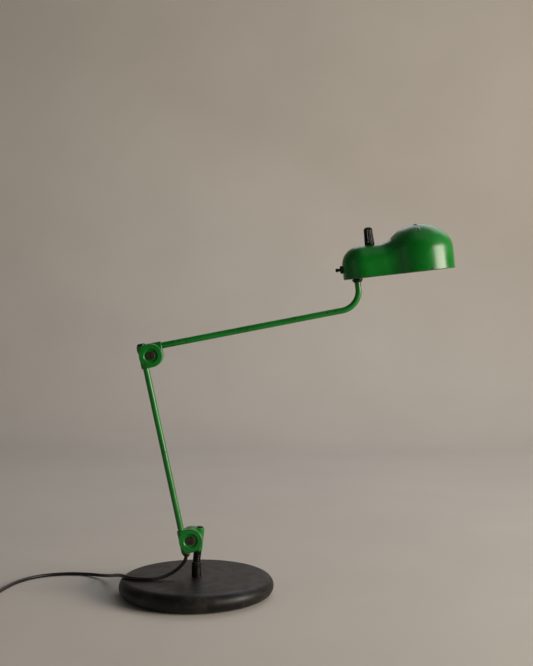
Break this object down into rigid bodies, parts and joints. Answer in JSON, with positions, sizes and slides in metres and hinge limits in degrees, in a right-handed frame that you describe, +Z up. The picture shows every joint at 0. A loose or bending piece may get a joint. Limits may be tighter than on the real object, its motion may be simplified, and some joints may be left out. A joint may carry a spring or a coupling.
{
  "type": "desk lamp",
  "caption": "Swing arm desk lamp: round weighted base, swivelling post, two tube arms on friction joints, and a pressed shade that swivels and tilts.",
  "frame": {"origin": "centre of the underside of the base, on the surface that the lamp stands on", "axes": "+Z up along the base axis, +X from the post towards the shade in the plane of the arms, +Y to the left of someone looking along +X"},
  "size_m": [0.6634, 0.2, 0.4792],
  "materials": {
    "cast_iron_black": "black satin stove enamel on cast iron, scuffed",
    "steel_plain": "zinc plated steel",
    "felt_black": "felt",
    "socket_steel": "darkened turned steel",
    "fibre_washer": "vulcanised fibre",
    "bakelite_black": "moulded bakelite",
    "enamel_green": "gloss stove enamel, chipped at edges",
    "bolt_browned": "browned steel",
    "cord_black": "flexible insulated cord",
    "plug_black": "moulded plug",
    "pin_brass": "plain brass",
    "lamp_glass": "frosted white glass"
  },
  "bodies": {
    "base": {"base_casting": "cast_iron_black", "base_cover": "steel_plain", "base_pad": "felt_black", "cover_screws": "steel_plain", "base_ferrule": "socket_steel", "ferrule_washer": "steel_plain", "ferrule_nut": "steel_plain", "thrust_washer": "fibre_washer"},
    "turret": {"post_pin": "steel_plain", "post_sleeve": "bakelite_black", "post_cap": "bakelite_black", "lower_joint_rear": "enamel_green", "lower_pivot_bolt": "bolt_browned", "lower_pivot_friction_washer": "fibre_washer", "lower_pivot_lock_washer": "steel_plain", "lower_pivot_nut": "steel_plain", "cord_free": "cord_black", "cord_coil": "cord_black", "coil_tie": "cord_black", "plug_body": "plug_black", "plug_boot": "plug_black", "plug_pins": "pin_brass"},
    "lower_arm": {"lower_joint_front": "enamel_green", "upper_joint_front": "enamel_green", "lower_tube": "enamel_green", "cord_gland": "cord_black", "lower_tube_cap": "bakelite_black", "lower_lead": "cord_black"},
    "upper_arm": {"upper_joint_rear": "enamel_green", "upper_tube": "enamel_green", "upper_tube_cap": "bakelite_black", "upper_lead": "cord_black", "head_collar": "bakelite_black", "upper_pivot_bolt": "bolt_browned", "upper_pivot_friction_washer": "fibre_washer", "upper_pivot_lock_washer": "steel_plain", "upper_pivot_nut": "steel_plain"},
    "neck": {"head_knuckle": "socket_steel"},
    "head": {"shade": "enamel_green", "tilt_bracket": "steel_plain", "tilt_screw": "steel_plain", "tilt_nut": "steel_plain", "handle": "bakelite_black", "handle_screw": "steel_plain", "lampholder": "bakelite_black", "holder_nipple": "steel_plain", "holder_nut": "steel_plain", "lamp_cap": "pin_brass", "lamp_globe": "lamp_glass", "switch_body": "bakelite_black", "switch_nut": "bakelite_black", "head_wires": "cord_black"},
    "button": {"push_button": "bakelite_black"}
  },
  "joints": [
    {"name": "base_swivel", "type": "hinge", "parent": "base", "child": "turret", "pos_m": [0, 0, 0.0431], "axis": [0, 0, 1], "range_deg": [-170, 170]},
    {"name": "lower_pivot", "type": "hinge", "parent": "turret", "child": "lower_arm", "pos_m": [-0.0062, 0, 0.0735], "axis": [0, 1, 0], "range_deg": [-50, 50], "deforming": ["cord_free"]},
    {"name": "upper_pivot", "type": "hinge", "parent": "lower_arm", "child": "upper_arm", "pos_m": [-0.05658, 0, 0.3105], "axis": [0, -1, 0], "range_deg": [-60, 75]},
    {"name": "head_swivel", "type": "hinge", "parent": "upper_arm", "child": "neck", "pos_m": [0.20585, 0, 0.42055], "axis": [-0.1132, 0, 0.9936], "range_deg": [-160, 160]},
    {"name": "head_tilt", "type": "hinge", "parent": "neck", "child": "head", "pos_m": [0.20585, 0, 0.42055], "axis": [0, -1, 0], "range_deg": [-20, 20]},
    {"name": "switch_press", "type": "slide", "parent": "head", "child": "button", "axis": [0.9936, 0, 0.1132], "range_m": [0, 0.002], "stiffness_N_per_m": 500, "springref_m": -0.003}
  ]
}
